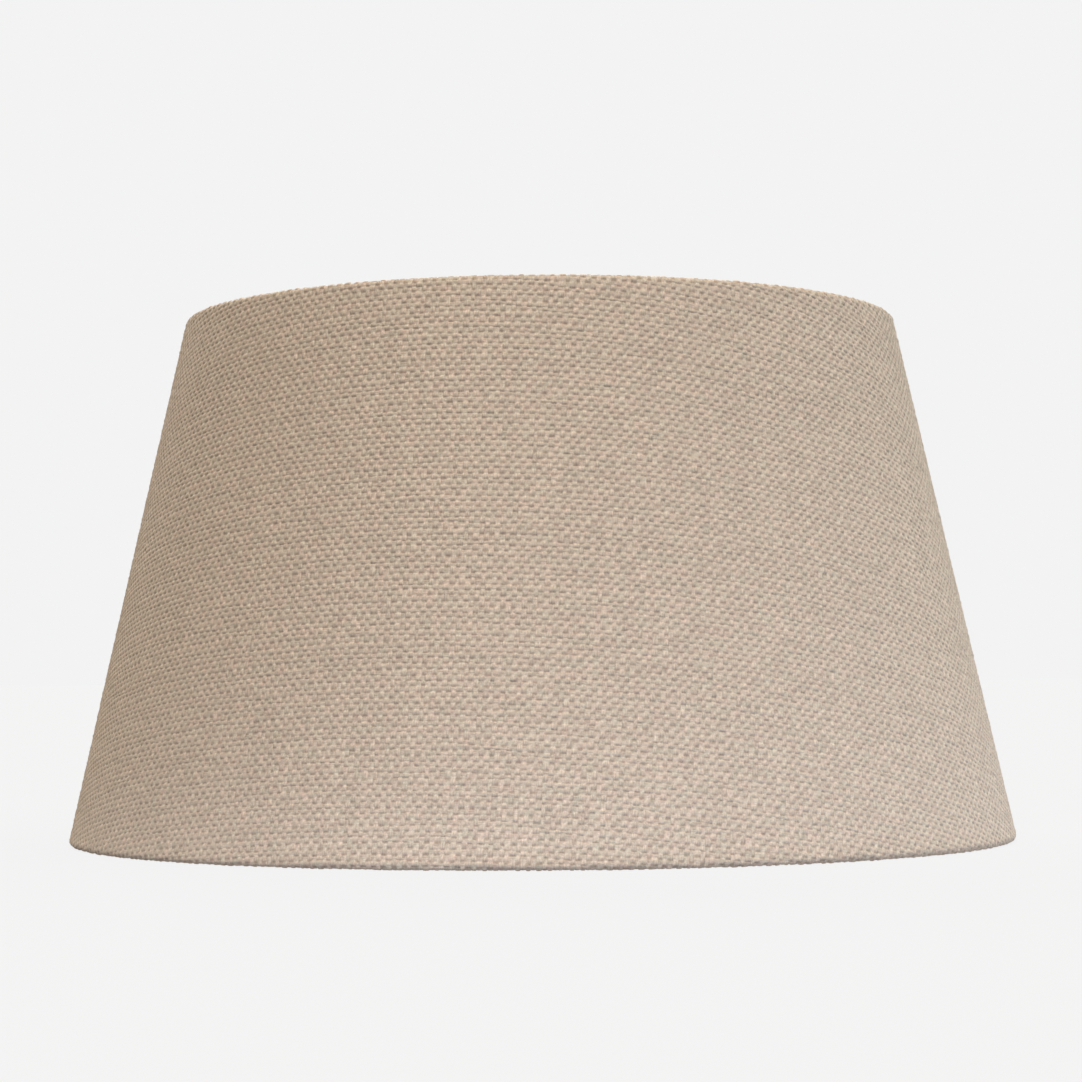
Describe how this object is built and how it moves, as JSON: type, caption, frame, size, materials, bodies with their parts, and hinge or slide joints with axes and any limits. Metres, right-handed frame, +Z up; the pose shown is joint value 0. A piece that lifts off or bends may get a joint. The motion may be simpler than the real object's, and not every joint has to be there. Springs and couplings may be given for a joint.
{
  "type": "lamp shade",
  "caption": "Tapered hardback drum lamp shade: woven cloth on a stiff liner, hems rolled round wire hoops, and a recessed spider that drops over a lamp holder.",
  "frame": {"origin": "centre of the circle that the bottom rim stands on", "axes": "+Z up along the axis of the shade, front towards -Y, lapped seam at the back near +Y"},
  "size_m": [0.4, 0.4, 0.221],
  "materials": {
    "cloth": "chunky plain weave in taupe",
    "liner": "satin white styrene sheet",
    "tape": "clear double-sided tape",
    "frame": "white epoxy coat"
  },
  "bodies": {
    "root": {"cover_fabric": "cloth", "liner": "liner", "seam_tape": "tape", "top_hem_tape": "tape", "bottom_hem_tape": "tape", "top_ring": "frame", "bottom_ring": "frame", "spider_arm_1": "frame", "spider_arm_2": "frame", "spider_arm_3": "frame", "fitter_ring": "frame"}
  },
  "joints": []
}
